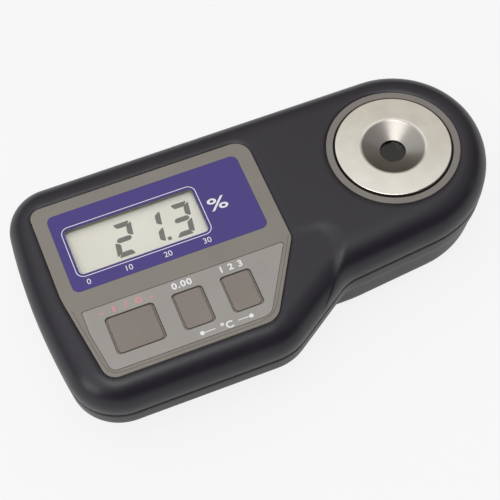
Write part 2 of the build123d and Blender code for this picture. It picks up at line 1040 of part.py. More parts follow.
def battery():
    cell = block(
        battery_left,
        battery_right,
        bay_middle_y - battery_width / 2,
        bay_middle_y + battery_width / 2,
        battery_bottom_z,
        battery_bottom_z + battery_height,
    )
    cell = fillet(cell.edges().filter_by(Axis.X), battery_edge_radius)
    for y in terminal_places:
        cell = cell + rod_along_x(terminal_radius, battery_right, battery_right + terminal_height, y, terminal_z)
    return cell


def battery_clip():
    clip = block(
        clip_left,
        clip_right,
        bay_middle_y - battery_width / 2,
        bay_middle_y + battery_width / 2,
        terminal_z - clip_width / 2,
        terminal_z + clip_width / 2,
    )
    for y in terminal_places:
        clip = clip - rod_along_x(terminal_radius + clip_gap, clip_left, clip_left + terminal_height, y, terminal_z)
    return clip


battery_lead_x = clip_left + battery_lead_inset
battery_lead_places = [
    (battery_lead_x, bay_middle_y - terminal_spacing / 2),
    (battery_lead_x, bay_middle_y - terminal_spacing / 2 - lead_spacing),
]


def battery_leads():
    """Two wires from the clip, up through the bay's roof to the main board."""
    clip_top_z = terminal_z + clip_width / 2
    return Compound(
        children=[rod(lead_radius, x, y, clip_top_z, board_bottom_z) for x, y in battery_lead_places]
    )


def battery_bay():
    """Walls and roof round the battery, the shelf over the lid's tail and the insert's boss."""
    bay = block(
        bay_left - bay_wall,
        bay_right + bay_wall,
        bay_middle_y - bay_outer_half_width,
        bay_middle_y + bay_outer_half_width,
        case_bottom_z + wall / 2,
        bay_roof_z + bay_roof,
    )
    shelf = block(
        bay_right,
        lid_right + bay_wall,
        bay_middle_y - bay_outer_half_width,
        bay_middle_y + bay_outer_half_width,
        case_bottom_z + wall / 2,
        lid_seat_z + bay_roof,
    )
    boss = rod(
        insert_radius + insert_cover, lid_screw_x, bay_middle_y, lid_seat_z, insert_top_z + insert_cover
    )
    return bay + shelf + boss


def battery_bay_room():
    """Everything that is cut out for the battery, its leads, the lid and the insert."""
    room = block(
        bay_left,
        bay_right,
        bay_middle_y - bay_half_width,
        bay_middle_y + bay_half_width,
        case_floor_z,
        bay_roof_z,
    )
    half_width = lid_width / 2 + lid_gap
    opening = rectangle(
        lid_left - lid_gap,
        lid_right + lid_gap,
        bay_middle_y - half_width,
        bay_middle_y + half_width,
        lid_corner_radius + lid_gap,
    )
    room = room + plate(opening, 0, lid_seat_z)
    room = room + rod(insert_radius + screw_play, lid_screw_x, bay_middle_y, 0, insert_top_z)
    for x, y in battery_lead_places:
        room = room + rod(lead_radius + clip_gap, x, y, terminal_z, bay_roof_z + bay_roof)
    return room


def battery_lid():
    """A flush plate that hooks under the case by two tongues and is held by one screw."""
    outline = rectangle(
        lid_left,
        lid_right,
        bay_middle_y - lid_width / 2,
        bay_middle_y + lid_width / 2,
        lid_corner_radius,
    )
    lid = plate(outline, case_bottom_z, case_floor_z)
    for side in (-1, 1):
        y = bay_middle_y + side * tongue_spacing / 2
        low = y - tongue_width / 2
        high = y + tongue_width / 2
        tongue_z = case_floor_z + tongue_gap
        root = block(lid_left, lid_left + tongue_root, low, high, case_bottom_z + wall / 2, tongue_z)
        tongue = block(
            lid_left - tongue_reach, lid_left + tongue_root, low, high, tongue_z, tongue_z + tongue_thickness
        )
        lid = lid + root + tongue
    lid = lid - rod(
        lid_screw_head_radius + lid_screw_gap,
        lid_screw_x,
        bay_middle_y,
        case_bottom_z,
        case_bottom_z + lid_screw_head_height + lid_screw_gap,
    )
    return lid - rod(lid_screw_radius + lid_screw_gap, lid_screw_x, bay_middle_y, case_bottom_z, case_floor_z)


def lid_screw():
    """A screw with a coin slot across its flat head."""
    low = case_bottom_z + lid_screw_gap / 2
    seat = low + lid_screw_head_height
    head = rod(lid_screw_head_radius, lid_screw_x, bay_middle_y, low, seat)
    shank = rod(lid_screw_radius, lid_screw_x, bay_middle_y, seat, seat + lid_screw_length)
    slot = block(
        lid_screw_x - coin_slot_width / 2,
        lid_screw_x + coin_slot_width / 2,
        bay_middle_y - lid_screw_head_radius,
        bay_middle_y + lid_screw_head_radius,
        low,
        low + coin_slot_depth,
    )
    return head + shank - slot


def lid_insert():
    sleeve = rod(insert_radius, lid_screw_x, bay_middle_y, lid_seat_z, insert_top_z)
    return sleeve - rod(lid_screw_radius + insert_play, lid_screw_x, bay_middle_y, lid_seat_z, insert_top_z)


# Case screws: two along the back, two along the front, two beside the sample stage
stage_screw_side = stage_screw_reach * math.sin(math.radians(stage_screw_angle))
stage_screw_x = stage_x + stage_screw_reach * math.cos(math.radians(stage_screw_angle))
case_screw_places = [
    (left_x + back_left_screw_offset, back_y - back_left_screw_margin),
    (left_x + front_left_screw_offset, front_y + front_screw_margin),
    (flank_start[0] - front_right_screw_offset, front_y + front_screw_margin),
    (stage_x - neck_screw_offset, back_y - neck_screw_margin),
    (stage_screw_x, stage_y + stage_screw_side),
    (stage_screw_x, stage_y - stage_screw_side),
]
pocket_radius = screw_head_radius + pocket_gap


def cross_screw(x, y, seat_z, radius, head_radius, head_height, length):
    """A screw driven upwards, with a rounded head and a cross recess."""
    head_z = seat_z - head_height
    head = rod(head_radius, x, y, head_z, seat_z)
    head = fillet(bottom_edges(head), head_height / 2)
    shank = rod(radius, x, y, seat_z, seat_z + length)
    arm = head_radius / 2
    blade = cross_slot_width / 2
    recess_z = head_z + head_height / 2
    cross = block(x - arm, x + arm, y - blade, y + blade, head_z, recess_z)
    cross = cross + block(x - blade, x + blade, y - arm, y + arm, head_z, recess_z)
    return head + shank - cross


def case_screws():
    return Compound(
        children=[
            cross_screw(x, y, screw_seat_z, screw_radius, screw_head_radius, screw_head_height, screw_length)
            for x, y in case_screw_places
        ]
    )


def board_screws():
    return Compound(
        children=[
            cross_screw(
                x,
                y,
                board_bottom_z,
                small_screw_radius,
                small_screw_head_radius,
                small_screw_head_height,
                small_screw_length,
            )
            for x, y in post_places
        ]
    )


def optics_screws():
    return Compound(
        children=[
            cross_screw(
                x,
                y,
                block_bottom_z + optics_screw_sink,
                optics_screw_radius,
                optics_screw_head_radius,
                optics_screw_head_height,
                optics_screw_length,
            )
            for x, y in optics_screw_places
        ]
    )


# Feet near the corners of the keel's flat bottom
left_feet_x = left_x + keel_end_inset + left_feet_inset
right_feet_x = right_x - right_feet_inset
foot_places = [
    (left_feet_x, bay_middle_y - feet_spacing / 2),
    (left_feet_x, bay_middle_y + feet_spacing / 2),
    (right_feet_x, stage_y - feet_spacing / 2),
    (right_feet_x, stage_y + feet_spacing / 2),
]


def rubber_feet():
    feet = []
    for x, y in foot_places:
        foot = rod(foot_radius, x, y, 0, case_bottom_z + foot_pocket)
        feet.append(fillet(bottom_edges(foot), foot_edge_radius))
    return Compound(children=feet)


def case_seal():
    outer = rim_tuck + seal_inset
    ring = body_outline(outer) - body_outline(outer + seal_width)
    return plate(ring, bottom_rim_z, top_rim_z)


def top_case():
    """The upper shell with its screw bosses, board posts and the collar of the stage."""
    dome = upper_form(0, top_rim_z)
    shell = dome - sloping_corner(dome) - upper_form(wall, parting_z - skirt_height)
    for x, y in case_screw_places:
        shell = shell + rod(boss_radius, x, y, top_rim_z, ceiling_z + wall / 4)
    for x, y in post_places:
        shell = shell + rod(post_radius, x, y, board_top_z, ceiling_z + wall / 4)
    shell = shell + rod(collar_radius, stage_x, stage_y, hub_bottom_z, ceiling_z + wall / 4)
    shell = shell - rod(hub_radius + hub_gap, stage_x, stage_y, hub_bottom_z, body_height)
    shell = shell - rod(ring_inner_radius, stage_x, stage_y, flange_bottom_z, body_height)
    shell = shell - rod(ring_outer_radius + ring_gap, stage_x, stage_y, ring_bottom_z, body_height)
    shell = shell - plate(panel_outline(-panel_gap), panel_bottom_z, body_height)
    shell = shell - plate(view_outline(window_rim + window_gap), ceiling_z, panel_bottom_z)
    well_margin = key_flange + key_well_gap
    well = block(
        key_sides["start_key"][0] - well_margin,
        key_sides["scale_key"][1] + well_margin,
        key_front - well_margin,
        key_back + well_margin,
        ceiling_z,
        panel_bottom_z,
    )
    shell = shell - well
    for x, y in case_screw_places:
        tip = screw_seat_z + screw_length + screw_play
        shell = shell - rod(screw_radius + screw_play, x, y, top_rim_z, tip)
    for x, y in post_places:
        tip = board_bottom_z + small_screw_length + screw_play
        shell = shell - rod(small_screw_radius + screw_play, x, y, board_top_z, tip)
    return shell


def bottom_case():
    """The tray and keel in one shell, with screw pockets, battery bay and foot pockets."""
    outer = lower_form(0)
    inside = lower_form(wall)
    supports = battery_bay()
    for x, y in case_screw_places:
        supports = supports + rod(pocket_radius + pocket_wall, x, y, 0, screw_seat_z + pocket_wall)
        supports = supports + rod(boss_radius, x, y, screw_seat_z, bottom_rim_z)
    shell = (outer - inside) + (outer & supports)
    shell = shell - battery_bay_room()
    for x, y in case_screw_places:
        shell = shell + rod(boss_radius, x, y, bottom_rim_z - wall, top_rim_z)
        shell = shell - rod(pocket_radius, x, y, 0, screw_seat_z)
        shell = shell - rod(screw_radius + screw_clearance, x, y, 0, top_rim_z)
    for x, y in foot_places:
        shell = shell - rod(foot_radius + foot_gap, x, y, 0, case_bottom_z + foot_pocket)
    return shell


pieces = {
    "top_case": top_case(),
    "bottom_case": bottom_case(),
    "case_seal": case_seal(),
    "front_panel": front_panel(),
    "display_film": display_film(),
    "display_window": display_window(),
    "display_glass": display_glass(),
    "display_frame": display_frame(),
    "display_contact": contact_block(0),
    "key_plate": key_plate(),
    "main_board": main_board(),
    "board_chips": board_chips(),
    "key_switches": key_switches(),
    "sample_stage": sample_stage(),
    "stage_ring": stage_ring(),
    "stage_seal": stage_seal(),
    "prism": prism(),
    "prism_seal": prism_seal(),
    "optics_block": optics_block(),
    "temperature_sensor": probe_rod(probe_radius, probe_length),
    "lamp": lamp(),
    "collimating_lens": path_lens(lamp_side, lamp_lens_depth - lens_thickness),
    "imaging_lens": path_lens(sensor_side, sensor_lens_depth),
    "image_sensor": image_sensor(),
    "lamp_board": small_board(lamp_side),
    "sensor_board": small_board(sensor_side),
    "wiring_sockets": wiring_sockets(),
    "sensor_ribbon": sensor_ribbon(),
    "lamp_lead": lamp_lead(),
    "battery": battery(),
    "battery_clip": battery_clip(),
    "battery_leads": battery_leads(),
    "battery_lid": battery_lid(),
    "lid_screw": lid_screw(),
    "lid_insert": lid_insert(),
    "case_screws": case_screws(),
    "board_screws": board_screws(),
    "optics_screws": optics_screws(),
    "rubber_feet": rubber_feet(),
}
for key_name, key_side_pair in key_sides.items():
    pieces[key_name] = key_cap(key_side_pair)
    pieces[key_name.replace("key", "plunger")] = key_plunger(key_side_pair)

os.makedirs("parts", exist_ok=True)
for name, piece in pieces.items():
    export_step(piece, f"parts/{name}.step")
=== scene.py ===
import math

import bpy
from mathutils import Matrix, Quaternion, Vector


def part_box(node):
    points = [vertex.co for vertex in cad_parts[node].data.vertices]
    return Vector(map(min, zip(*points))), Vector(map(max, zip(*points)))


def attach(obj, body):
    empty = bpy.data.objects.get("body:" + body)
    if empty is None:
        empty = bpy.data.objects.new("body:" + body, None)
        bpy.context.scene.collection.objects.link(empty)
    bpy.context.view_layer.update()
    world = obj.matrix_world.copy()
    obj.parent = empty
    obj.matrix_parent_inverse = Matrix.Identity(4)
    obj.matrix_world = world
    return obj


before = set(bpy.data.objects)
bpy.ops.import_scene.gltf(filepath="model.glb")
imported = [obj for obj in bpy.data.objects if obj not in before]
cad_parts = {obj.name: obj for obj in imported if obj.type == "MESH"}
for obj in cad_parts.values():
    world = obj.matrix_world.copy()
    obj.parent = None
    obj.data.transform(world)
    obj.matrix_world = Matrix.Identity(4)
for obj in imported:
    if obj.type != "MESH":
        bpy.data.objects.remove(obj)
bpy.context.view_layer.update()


# The view. The photograph looks down on the instrument from its front left, from about
# half a metre away through a long lens. The picture is square.
look_at = Vector((-0.0106, -0.00908, 0.0394))
view_turn = math.radians(-20.013)
view_height = math.radians(59.361)
view_roll = math.radians(-1.998)
view_distance = 0.51407
away = Vector((
    math.sin(view_turn) * math.cos(view_height),
    -math.cos(view_turn) * math.cos(view_height),
    math.sin(view_height),
))
bpy.ops.object.camera_add(location=look_at + away * view_distance)
camera = bpy.context.object
camera.rotation_mode = "QUATERNION"
level_view = (-away).to_track_quat("-Z", "Y")
camera.rotation_quaternion = level_view @ Quaternion((0, 0, 1), view_roll)
camera.data.lens = 110.5
camera.data.sensor_width = 36
camera.data.clip_start = 0.05
bpy.context.scene.camera = camera
bpy.context.scene.view_settings.view_transform = "Standard"


# The two shells. They are moulded in charcoal plastic with a fine spark-eroded grain, which
# hands polish a little with use. Screws from below close them on a thin black seal.
def screen(red, green, blue):
    """A colour as a screen shows it, from 0 to 255, in the linear form that a shader takes."""
    linear = []
    for level in (red, green, blue):
        share = level / 255
        if share <= 0.04045:
            linear.append(share / 12.92)
        else:
            linear.append(((share + 0.055) / 1.055) ** 2.4)
    return (*linear, 1.0)


class Tone:
    """One value in a material's nodes, with which a pattern is written as arithmetic."""

    def __init__(self, tree, socket=None):
        self.tree = tree
        self.socket = socket

    def node(self, kind, settings, values, output=0):
        """Adds any other node: its kind, its settings, and what goes into its sockets."""
        made = self.tree.nodes.new(kind)
        for name, setting in settings.items():
            setattr(made, name, setting)
        for name, value in values.items():
            if isinstance(value, Tone):
                self.tree.links.new(value.socket, made.inputs[name])
            else:
                made.inputs[name].default_value = value
        return Tone(self.tree, made.outputs[output])

    def sum(self, operation, first, second=0.0):
        return self.node("ShaderNodeMath", {"operation": operation}, {0: first, 1: second})

    def __add__(self, other):
        return self.sum("ADD", self, other)

    def __radd__(self, other):
        return self.sum("ADD", other, self)

    def __sub__(self, other):
        return self.sum("SUBTRACT", self, other)

    def __rsub__(self, other):
        return self.sum("SUBTRACT", other, self)

    def __mul__(self, other):
        return self.sum("MULTIPLY", self, other)

    def __rmul__(self, other):
        return self.sum("MULTIPLY", other, self)

    def __truediv__(self, other):
        return self.sum("DIVIDE", self, other)

    def __pow__(self, other):
        return self.sum("POWER", self, other)

    def __mod__(self, other):
        return self.sum("FLOORED_MODULO", self, other)

    def __abs__(self):
        return self.sum("ABSOLUTE", self)

    def __lt__(self, other):
        return self.sum("LESS_THAN", self, other)

    def __gt__(self, other):
        return self.sum("GREATER_THAN", self, other)

    def axis(self, letter):
        return self.node("ShaderNodeSeparateXYZ", {}, {0: self}, letter)

    def cloud(self, size, detail=2.0):
        """Cloudy patches of about this size in metres, from 0 to 1."""
        return self.node(
            "ShaderNodeTexNoise", {}, {"Vector": self, "Scale": 1 / size, "Detail": detail}
        )

    def rise(self, low, high):
        """0 below low, 1 above high, and a smooth step between them."""
        return self.node(
            "ShaderNodeMapRange",
            {"interpolation_type": "SMOOTHSTEP"},
            {"Value": self, "From Min": low, "From Max": high},
        )

    def blend(self, first, second):
        """The colour that lies this far from the first to the second."""
        return self.node("ShaderNodeMix", {"data_type": "RGBA"}, {0: self, 6: first, 7: second}, 2)


def new_finish(name, colour, roughness, metal=0.0):
    """A material, with its shader and the place on the object that its patterns follow."""
    material = bpy.data.materials.new(name)
    material.use_nodes = True
    shader = material.node_tree.nodes["Principled BSDF"]
    shader.inputs["Base Color"].default_value = colour
    shader.inputs["Roughness"].default_value = roughness
    shader.inputs["Metallic"].default_value = metal
    place = Tone(material.node_tree).node("ShaderNodeTexCoord", {}, {}, "Object")
    return material, shader, place


def feed(shader, name, tone):
    tone.tree.links.new(tone.socket, shader.inputs[name])


def press_relief(shader, height, depth, softened=0.0):
    """Presses a pattern of 0 to 1 this many metres deep, and rounds creases this far, if at all."""
    values = {"Distance": depth, "Height": height}
    if softened:
        values["Normal"] = height.node("ShaderNodeBevel", {"samples": 8}, {"Radius": softened})
    feed(shader, "Normal", height.node("ShaderNodeBump", {}, values))


def dress(material, *nodes):
    for name in nodes:
        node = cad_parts[name]
        node.data.materials.clear()
        node.data.materials.append(material)


def moulded_finish(name, light, dark, roughness, grain, depth, softened=0.0, gloss=0.5):
    """Moulded plastic: faint clouds of colour, patches that hands have polished, and grain."""
    material, shader, place = new_finish(name, light, roughness)
    shader.inputs["Specular IOR Level"].default_value = gloss
    clouds = place.cloud(0.018, 4.0)
    specks = place.cloud(0.0006, 2.0)
    feed(shader, "Base Color", (clouds * 0.6 + specks * 0.4).rise(0.3, 0.7).blend(dark, light))
    feed(shader, "Roughness", roughness - 0.06 + place.cloud(0.03, 3.0) * 0.12)
    press_relief(shader, place.cloud(grain, 2.0), depth, softened)
    return material


shell_finish = moulded_finish(
    "charcoal_shell_plastic", screen(39, 36, 44), screen(35, 32, 40),
    roughness=0.34, grain=0.00035, depth=0.000015, softened=0.0032,
)
dress(shell_finish, "top_case", "bottom_case", "battery_lid")


# The seals of the stage and the prism, the strips under the display and the four feet are
# soft black rubber, dull, with a little dust in the grain. The thin seal between the two
# shells is blacker, and has hardly any gloss.
rubber_finish = moulded_finish(
    "black_rubber", screen(26, 25, 27), screen(18, 18, 19),
    roughness=0.7, grain=0.0002, depth=0.00002, gloss=0.25,
)
dress(rubber_finish, "stage_seal", "prism_seal", "rubber_feet", "display_contact")
seal_finish = moulded_finish(
    "dull_black_seal", screen(9, 9, 10), screen(7, 7, 8),
    roughness=0.9, grain=0.0002, depth=0.00001, gloss=0.1,
)
dress(seal_finish, "case_seal")


# The front panel is a separate moulding in taupe plastic, let flush into the top. A fine dark line
# of painted shade, where a groove would lie, runs a little inside its edge, round the half that
# has the keys. Its two sides lean.
panel_finish = moulded_finish(
    "taupe_panel_plastic", screen(137, 132, 124), screen(131, 126, 118),
    roughness=0.5, grain=0.0004, depth=0.000012,
)
panel_front_y = -0.0369
panel_right_x = 0.0044
panel_right_y = -0.0095
panel_right_lean = math.radians(30.4)
panel_left_x = -0.0754
panel_left_y = -0.0028
panel_left_lean = math.radians(8.3)
groove_shade_inset = 0.0012
groove_shade_width = 0.00026
groove_shade_back_y = -0.0085
groove_shade_strength = 0.6
border_corner = 0.007
panel_shader = panel_finish.node_tree.nodes["Principled BSDF"]
panel_place = Tone(panel_finish.node_tree).node("ShaderNodeTexCoord", {}, {}, "Object")
panel_x = panel_place.axis("X")
panel_y = panel_place.axis("Y")
past_front = panel_front_y - panel_y
across_right = (panel_x - panel_right_x) * math.cos(panel_right_lean)
past_right = across_right - (panel_y - panel_right_y) * math.sin(panel_right_lean)
across_left = (panel_left_x - panel_x) * math.cos(panel_left_lean)
past_left = across_left - (panel_y - panel_left_y) * math.sin(panel_left_lean)
past_edge = past_front
for past_side in (past_right, past_left):
    past_edge = past_edge.node(
        "ShaderNodeMath", {"operation": "SMOOTH_MAX"}, {0: past_edge, 1: past_side, 2: border_corner}
    )
# Painted shade: a fine dark line where the shade of a groove would lie inside the panel's edge.
on_groove_shade = abs(past_edge + groove_shade_inset) < groove_shade_width / 2
painted_groove_shade = on_groove_shade * (panel_y < groove_shade_back_y) * groove_shade_strength
panel_tone = Tone(panel_place.tree, panel_shader.inputs["Base Color"].links[0].from_socket)
feed(panel_shader, "Base Color", painted_groove_shade.blend(panel_tone, screen(74, 69, 66)))
dress(panel_finish, "front_panel")


# The printed film is a thin polyester sheet stuck in the panel round the display's opening.
# It is printed purple from below, so that its outer face is smooth with a faint ripple.
film_finish, film_shader, film_place = new_finish("purple_printed_film", screen(70, 57, 134), 0.42)
film_specks = film_place.cloud(0.0003, 2.0).rise(0.25, 0.75)
feed(film_shader, "Base Color", film_specks.blend(screen(66, 52, 127), screen(71, 58, 133)))
feed(film_shader, "Roughness", 0.38 + film_place.cloud(0.02, 3.0) * 0.1)
press_relief(film_shader, film_place.cloud(0.0015, 2.0), 0.000008)
dress(film_finish, "display_film")


# White ink on the film: a rounded line round the display's opening, the percent sign that
# belongs to the reading, and a plain row of numbers under the opening.
film_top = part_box("display_film")[1].z
ink_depth = 0.00003
outline_margin = 0.0011
outline_width = 0.00026
outline_radius = 0.0028
view_low = Vector((-0.0664, 0.0032, film_top))
view_high = Vector((-0.0203, 0.0216, film_top))


def ink_finish(name, colour):
    """Screen-printed ink, a little uneven in its cover."""
    material, shader, place = new_finish(name, colour, 0.5)
    worn = place.cloud(0.0004, 3.0).rise(0.2, 0.8)
    faded = tuple(channel * 0.88 for channel in colour[:3]) + (1.0,)
    feed(shader, "Base Color", worn.blend(faded, colour))
    press_relief(shader, place.cloud(0.0002, 2.0), 0.000005)
    return material


def start_piece():
    """Leaves edit mode, if it is on, and clears the selection for a new primitive."""
    if bpy.context.object and bpy.context.object.mode != "OBJECT":
        bpy.ops.object.mode_set(mode="OBJECT")
    bpy.ops.object.select_all(action="DESELECT")


def finish_piece(name, material, body="case"):
    """Names the piece, puts its place in its mesh, gives it its finish and lets it ride."""
    if bpy.context.object.mode != "OBJECT":
        bpy.ops.object.mode_set(mode="OBJECT")
    piece = bpy.context.object
    bpy.ops.object.transform_apply(location=True, rotation=True, scale=True)
    piece.name = name
    piece.data.name = name
    piece.data.materials.clear()
    piece.data.materials.append(material)
    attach(piece, body)
    return piece


def thicken():
    """Draws the selected flat shape up to the thickness of the ink."""
    bpy.ops.mesh.select_all(action="SELECT")
    bpy.ops.mesh.extrude_region_move(TRANSFORM_OT_translate={"value": (0, 0, ink_depth)})
    bpy.ops.mesh.select_all(action="SELECT")
    bpy.ops.mesh.normals_make_consistent(inside=False)


def print_line(low, high, width, radius, name, material):
    """A closed printed line with round corners, drawn inside two opposite corners."""
    start_piece()
    bpy.ops.mesh.primitive_plane_add(size=1, location=(low + high) / 2)
    bpy.context.object.scale = (high.x - low.x, high.y - low.y, 1)
    bpy.ops.object.transform_apply(location=False, rotation=False, scale=True)
    bpy.ops.object.mode_set(mode="EDIT")
    bpy.ops.mesh.select_all(action="SELECT")
    bpy.ops.mesh.bevel(offset=radius, segments=10, affect="VERTICES")
    bpy.ops.mesh.select_mode(type="FACE")
    bpy.ops.mesh.select_all(action="SELECT")
    bpy.ops.mesh.inset(thickness=width)
    bpy.ops.mesh.delete(type="FACE")
    thicken()
    return finish_piece(name, material)


def print_words(body, height, place, tracking, name, material, weight=0.0, stretch=1.0):
    """Printed figures or signs, centred over a place, with capitals of this height."""
    capital_share = 0.73
    start_piece()
    bpy.ops.object.text_add(location=place)
    words = bpy.context.object
    words.data.body = body
    words.data.size = height / capital_share
    words.data.align_x = "CENTER"
    words.data.space_character = tracking
    words.data.resolution_u = 6
    words.data.extrude = ink_depth / 2
    words.data.offset = weight
    words.scale = (stretch, 1, 1)
    bpy.ops.object.convert(target="MESH")
    return finish_piece(name, material)


white_ink = ink_finish("white_ink", screen(246, 245, 248))
margin = Vector((outline_margin, outline_margin, 0))
outline_low = view_low - margin
outline_high = view_high + margin
print_line(
    outline_low, outline_high, outline_width, outline_radius, "display_outline", white_ink
)
percent_height = 0.0052
percent_place = (-0.0140, 0.0099, film_top)
percent_weight = 0.00006
percent_stretch = 1.45
print_words(
    "%", percent_height, percent_place, 1.0, "percent_mark", white_ink,
    percent_weight, percent_stretch,
)
number_height = 0.0022
number_y = -0.0011
for number, number_x in (("0", -0.0645), ("10", -0.0505), ("20", -0.0365), ("30", -0.0225)):
    number_place = (number_x, number_y, film_top)
    print_words(
        number, number_height, number_place, 1.0, "scale_number_" + number, white_ink
    )


# The window is a clear acrylic sheet stuck behind the panel's opening. It shows only by its
# gloss, and more of it at a flat angle.
window_finish, window_shader, window_place = new_finish(
    "clear_window_acrylic", screen(200, 200, 196), 0.04
)
window_edge = window_place.node("ShaderNodeLayerWeight", {}, {"Blend": 0.2}, "Fresnel")
window_smears = window_place.cloud(0.006, 4.0).rise(0.55, 0.8)
feed(window_shader, "Alpha", 0.05 + window_edge * 0.6 + window_smears * 0.02)
feed(window_shader, "Roughness", 0.03 + window_smears * 0.12)
dress(window_finish, "display_window")


# The display is a reflective liquid-crystal glass: two sheets of glass over a pale backing,
# whose warm white is the ground of the reading. The backing has a very fine grain.
lcd_finish, lcd_shader, lcd_place = new_finish("pale_display_glass", screen(222, 220, 208), 0.3)
lcd_grain = (lcd_place.cloud(0.0002, 2.0) * 0.3 + lcd_place.cloud(0.02, 2.0) * 0.7).rise(0.2, 0.8)
feed(lcd_shader, "Base Color", lcd_grain.blend(screen(240, 238, 226), screen(248, 246, 235)))
press_relief(lcd_shader, lcd_place.cloud(0.0003, 2.0), 0.000003)
dress(lcd_finish, "display_glass")


# The reading: seven-segment figures with mitred bars, leaning to the right. One bar of each
# kind is modelled and copied, and a figure is the bars that are dark in it.
digit_width = 0.0069
digit_height = 0.0132
bar_width = 0.00193
bar_gap = 0.0001
bar_corner = 0.00055
bar_depth = 0.00005
inner_mitre = 0.85
outer_mitre = 0.22
middle_mitre = 0.4
digit_lean = math.tan(math.radians(8.5))
digit_middle_y = 0.01245
digit_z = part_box("display_glass")[1].z
point_size = 0.0013
point_corner = 0.0002
point_place = (-0.0335, 0.0069, digit_z)

segment_finish, segment_shader, segment_place = new_finish(
    "dark_display_segment", screen(112, 108, 103), 0.5
)
segment_grain = segment_place.cloud(0.0003, 3.0).rise(0.3, 0.7)
feed(segment_shader, "Base Color", segment_grain.blend(screen(106, 102, 98), screen(122, 118, 112)))


def lay_bar(length, mitre_inner, mitre_outer, name):
    """A bar along X whose ends slope in by one share of its width at each long side."""
    start_piece()
    bpy.ops.mesh.primitive_circle_add(vertices=6, radius=1, fill_type="NGON")
    bar = bpy.context.object
    bpy.ops.object.mode_set(mode="EDIT")
    bpy.ops.mesh.select_all(action="SELECT")
    bpy.ops.transform.rotate(value=math.radians(90), orient_axis="Z", center_override=(0, 0, 0))
    bpy.ops.transform.resize(value=(length / 2, bar_width / math.sqrt(3), 1))
    bpy.ops.object.mode_set(mode="OBJECT")
    reach = length / 2
    for vertex in bar.data.vertices:
        side = math.copysign(1, vertex.co.x)
        if abs(vertex.co.y) < bar_width / 8:
            tip = reach - bar_width * (mitre_inner + mitre_outer) / 2
            if mitre_inner == mitre_outer:
                tip = reach
            vertex.co.x = side * tip
        elif vertex.co.y < 0:
            vertex.co.x = side * (reach - bar_width * mitre_inner)
        else:
            vertex.co.x = side * (reach - bar_width * mitre_outer)
    bpy.ops.object.mode_set(mode="EDIT")
    bpy.ops.mesh.select_all(action="SELECT")
    bpy.ops.mesh.bevel(offset=bar_corner, segments=3, affect="VERTICES")
    bpy.ops.mesh.select_all(action="SELECT")
    bpy.ops.mesh.extrude_region_move(TRANSFORM_OT_translate={"value": (0, 0, bar_depth)})
    bpy.ops.mesh.select_all(action="SELECT")
    bpy.ops.mesh.normals_make_consistent(inside=False)
    bpy.ops.object.mode_set(mode="OBJECT")
    bar.name = name
    return bar


across = digit_width - 2 * bar_gap
upright = digit_height / 2 - bar_gap
end_bar = lay_bar(across, inner_mitre, outer_mitre, "end_bar")
middle_bar = lay_bar(across - bar_width / 2, middle_mitre, middle_mitre, "middle_bar")
side_bar = lay_bar(upright, inner_mitre, outer_mitre, "side_bar")
half_across = digit_width / 2 - bar_width / 2
half_up = digit_height / 2 - bar_width / 2
quarter_up = digit_height / 4 - bar_gap / 2
bar_places = {
    "top": (end_bar, 0, (0, half_up)),
    "middle": (middle_bar, 0, (0, 0)),
    "bottom": (end_bar, 180, (0, -half_up)),
    "upper_left": (side_bar, 90, (-half_across, quarter_up)),
    "lower_left": (side_bar, 90, (-half_across, -quarter_up)),
    "upper_right": (side_bar, -90, (half_across, quarter_up)),
    "lower_right": (side_bar, -90, (half_across, -quarter_up)),
}
reading = [
    ("figure_tens", -0.0479, ("top", "upper_right", "middle", "lower_left", "bottom")),
    ("figure_ones", -0.0375, ("upper_right", "lower_right")),
    ("figure_tenths", -0.02705, ("top", "upper_right", "middle", "lower_right", "bottom")),
]
lean = Matrix(((1, digit_lean, 0, 0), (0, 1, 0, 0), (0, 0, 1, 0), (0, 0, 0, 1)))
for figure, middle_x, dark_bars in reading:
    bars = []
    for bar_name in dark_bars:
        pattern, turn, offset = bar_places[bar_name]
        bar = bpy.data.objects.new(figure + "_" + bar_name, pattern.data.copy())
        bpy.context.scene.collection.objects.link(bar)
        turned = Matrix.Rotation(math.radians(turn), 4, "Z")
        bar.data.transform(Matrix.Translation((*offset, 0)) @ turned)
        bars.append(bar)
    start_piece()
    for bar in bars:
        bar.select_set(True)
    bpy.context.view_layer.objects.active = bars[0]
    bpy.ops.object.join()
    bars[0].data.transform(Matrix.Translation((middle_x, digit_middle_y, digit_z)) @ lean)
    finish_piece(figure, segment_finish)
for pattern in (end_bar, middle_bar, side_bar):
    bpy.data.objects.remove(pattern)
start_piece()
bpy.ops.mesh.primitive_plane_add(size=point_size, location=point_place)
bpy.ops.object.mode_set(mode="EDIT")
bpy.ops.mesh.select_all(action="SELECT")
bpy.ops.mesh.bevel(offset=point_corner, segments=3, affect="VERTICES")
bpy.ops.mesh.select_all(action="SELECT")
bpy.ops.mesh.extrude_region_move(TRANSFORM_OT_translate={"value": (0, 0, bar_depth)})
bpy.ops.mesh.select_all(action="SELECT")
bpy.ops.mesh.normals_make_consistent(inside=False)
finish_piece("figure_point", segment_finish)


# The inner pieces of pale moulded plastic: the frame that holds the display, the sockets for
# the wiring, and the pin under each key that works its switch.
plain_white = moulded_finish(
    "white_inner_plastic", screen(206, 205, 200), screen(196, 195, 189),
    roughness=0.5, grain=0.0004, depth=0.00001,
)
dress(plain_white, "display_frame", "wiring_sockets", "start_plunger", "zero_plunger", "scale_plunger")


# The key plate is thin sheet let into the panel, painted in a light metallic grey whose
# flakes show as fine specks.
plate_finish, plate_shader, plate_place = new_finish(
    "light_metallic_paint", screen(158, 154, 149), 0.42, 0.15
)
flakes = plate_place.cloud(0.00025, 3.0)
plate_clouds = plate_place.cloud(0.012, 3.0)
plate_pattern = (flakes * 0.7 + plate_clouds * 0.3).rise(0.3, 0.7)
feed(plate_shader, "Base Color", plate_pattern.blend(screen(152, 148, 143), screen(165, 162, 157)))
feed(plate_shader, "Roughness", 0.38 + flakes * 0.1)
press_relief(plate_shader, flakes, 0.000006)
dress(plate_finish, "key_plate")


